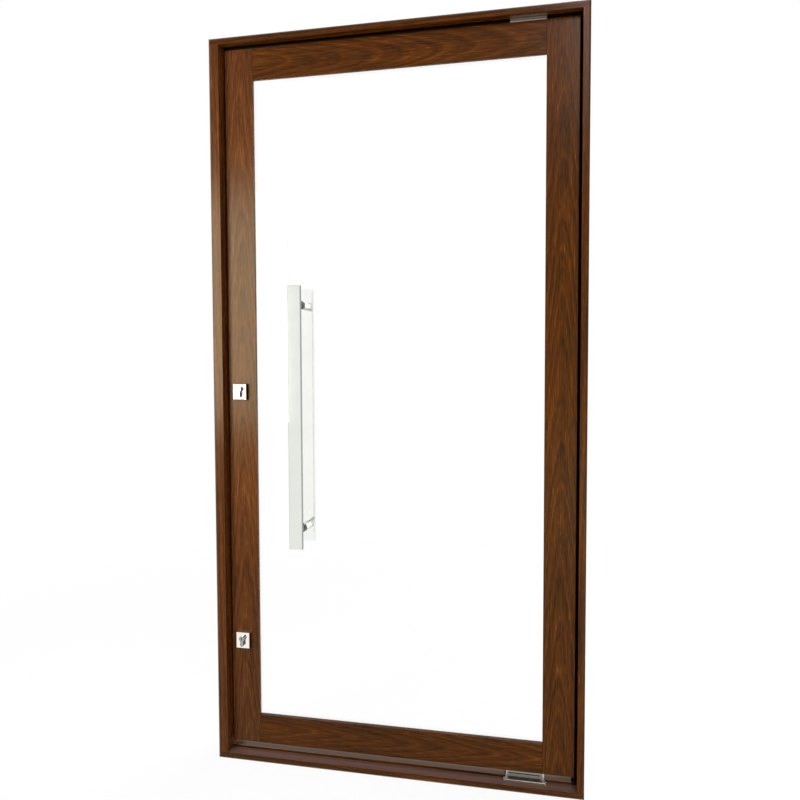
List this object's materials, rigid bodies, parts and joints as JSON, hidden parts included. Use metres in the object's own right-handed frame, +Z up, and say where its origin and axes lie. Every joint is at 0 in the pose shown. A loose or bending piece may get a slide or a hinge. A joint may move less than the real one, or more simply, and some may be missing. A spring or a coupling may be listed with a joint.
{
  "type": "glazed pivot door",
  "caption": "Full-height glazed pivot door in its own timber frame, with an offset pivot, back-to-back flat pull bars, rectangular escutcheons, dead bolts and a sprung catch.",
  "frame": {"origin": "on the sill's underside, under the middle of the frame's width, in the leaf's centre plane", "axes": "+X to the right as seen from outside, +Y from the outside face through the leaf to the inside, +Z up"},
  "size_m": [1.11, 0.144, 2.2],
  "materials": {
    "frame_timber": "dark walnut, satin varnish",
    "leaf_timber": "dark walnut, satin varnish",
    "glass": "clear",
    "rubber": "matt",
    "brush_pile": "woven pile",
    "satin_steel": "satin",
    "pin_steel": "ground",
    "zinc_steel": "zinc plated",
    "bronze": "sintered",
    "brass": "plain",
    "plated_brass": "satin nickel",
    "chrome": "polished",
    "polished_steel": "polished",
    "nylon": "natural"
  },
  "bodies": {
    "frame": {"frame_head": "frame_timber", "frame_sill": "frame_timber", "frame_jamb_left": "frame_timber", "frame_jamb_right": "frame_timber", "threshold_strip": "frame_timber", "head_strip": "frame_timber", "jamb_stop": "frame_timber", "stop_seal": "rubber", "end_pads": "rubber", "corner_screws": "zinc_steel", "bottom_pivot_plate": "satin_steel", "top_pivot_plate": "satin_steel", "pivot_pins": "pin_steel", "pivot_plate_screws": "zinc_steel", "upper_strike_plate": "satin_steel", "lower_strike_plate": "satin_steel", "strike_boxes": "zinc_steel", "strike_screws": "zinc_steel"},
    "leaf": {"stile_left": "leaf_timber", "stile_right": "leaf_timber", "rail_top": "leaf_timber", "rail_bottom": "leaf_timber", "bead_left": "leaf_timber", "bead_right": "leaf_timber", "bead_top": "leaf_timber", "bead_bottom": "leaf_timber", "glass_pane": "glass", "glazing_seal_front": "rubber", "glazing_seal_rear": "rubber", "setting_blocks": "rubber", "brush_left": "brush_pile", "brush_right": "brush_pile", "brush_top": "brush_pile", "bottom_shoe": "satin_steel", "top_shoe": "satin_steel", "upper_faceplate": "satin_steel", "lower_faceplate": "satin_steel", "shoe_screws": "zinc_steel", "faceplate_screws": "zinc_steel", "cylinder_screws": "zinc_steel", "upper_lock_case": "zinc_steel", "lower_lock_case": "zinc_steel", "handle_studs": "zinc_steel", "pivot_bushes": "bronze", "upper_cylinder": "plated_brass", "lower_cylinder": "plated_brass", "upper_rosettes": "chrome", "lower_rosettes": "chrome", "handle_bar_front": "polished_steel", "handle_bar_rear": "polished_steel", "handle_posts": "polished_steel", "handle_bushes": "nylon"},
    "upper_key": {"upper_plugs": "plated_brass", "upper_cam": "brass"},
    "lower_key": {"lower_plugs": "plated_brass", "lower_cam": "brass"},
    "upper_dead_bolt": {"upper_bolt": "pin_steel"},
    "lower_dead_bolt": {"lower_bolt": "pin_steel"},
    "catch": {"spring_catch": "pin_steel"}
  },
  "joints": [
    {"name": "leaf_swing", "type": "hinge", "parent": "frame", "child": "leaf", "pos_m": [0.388, 0, 0], "axis": [0, 0, -1], "range_deg": [0, 90]},
    {"name": "catch_press", "type": "slide", "parent": "leaf", "child": "catch", "axis": [1, 0, 0], "range_m": [0, 0.004], "stiffness_N_per_m": 600, "springref_m": -0.004},
    {"name": "upper_key_turn", "type": "hinge", "parent": "leaf", "child": "upper_key", "pos_m": [-0.477, 0, 1.153], "axis": [0, -1, 0], "range_deg": [0, 360]},
    {"name": "upper_bolt_throw", "type": "slide", "parent": "leaf", "child": "upper_dead_bolt", "axis": [-1, 0, 0], "range_m": [0, 0.02]},
    {"name": "lower_key_turn", "type": "hinge", "parent": "leaf", "child": "lower_key", "pos_m": [-0.477, 0, 0.38], "axis": [0, -1, 0], "range_deg": [0, 360]},
    {"name": "lower_bolt_throw", "type": "slide", "parent": "leaf", "child": "lower_dead_bolt", "axis": [-1, 0, 0], "range_m": [0, 0.02]}
  ],
  "couplings": [
    {"joint": "upper_key_turn", "follows": "upper_bolt_throw", "rad_per_m": 314.16},
    {"joint": "lower_key_turn", "follows": "lower_bolt_throw", "rad_per_m": 314.16}
  ]
}
